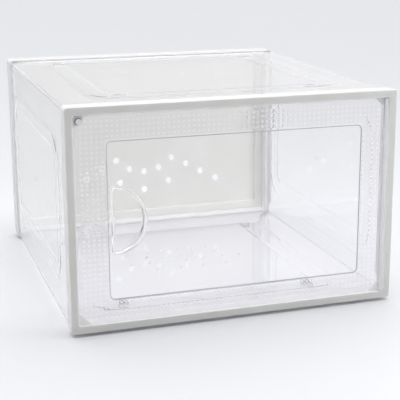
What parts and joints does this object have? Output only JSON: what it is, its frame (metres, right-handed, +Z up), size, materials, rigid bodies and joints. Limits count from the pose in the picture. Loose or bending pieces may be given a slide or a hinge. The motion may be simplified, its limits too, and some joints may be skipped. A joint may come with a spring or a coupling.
{
  "type": "shoe box",
  "caption": "Clear stackable storage box with white frames and a side-hinged clear front door with a D-shaped grip, for storing shoes.",
  "frame": {"origin": "on the floor, under the middle of the whole object's footprint", "axes": "+Z up, the door faces -Y, the hinge is on the +X side"},
  "size_m": [0.31, 0.348, 0.205],
  "materials": {
    "white_plastic": "satin moulded white plastic",
    "clear_plastic": "clear moulded plastic",
    "steel": "plain bright steel",
    "magnet": "dark plated magnet"
  },
  "bodies": {
    "shell": {"front_frame": "white_plastic", "back_panel": "white_plastic", "top_panel": "clear_plastic", "bottom_panel": "clear_plastic", "left_panel": "clear_plastic", "right_panel": "clear_plastic", "frame_magnet": "magnet"},
    "door": {"door": "clear_plastic", "upper_hinge_pin": "clear_plastic", "lower_hinge_pin": "clear_plastic", "door_striker": "steel"}
  },
  "joints": [
    {"name": "door_hinge", "type": "hinge", "parent": "shell", "child": "door", "pos_m": [0.145, -0.1636, 0.104], "axis": [0, 0, 1], "range_deg": [0, 100]}
  ]
}
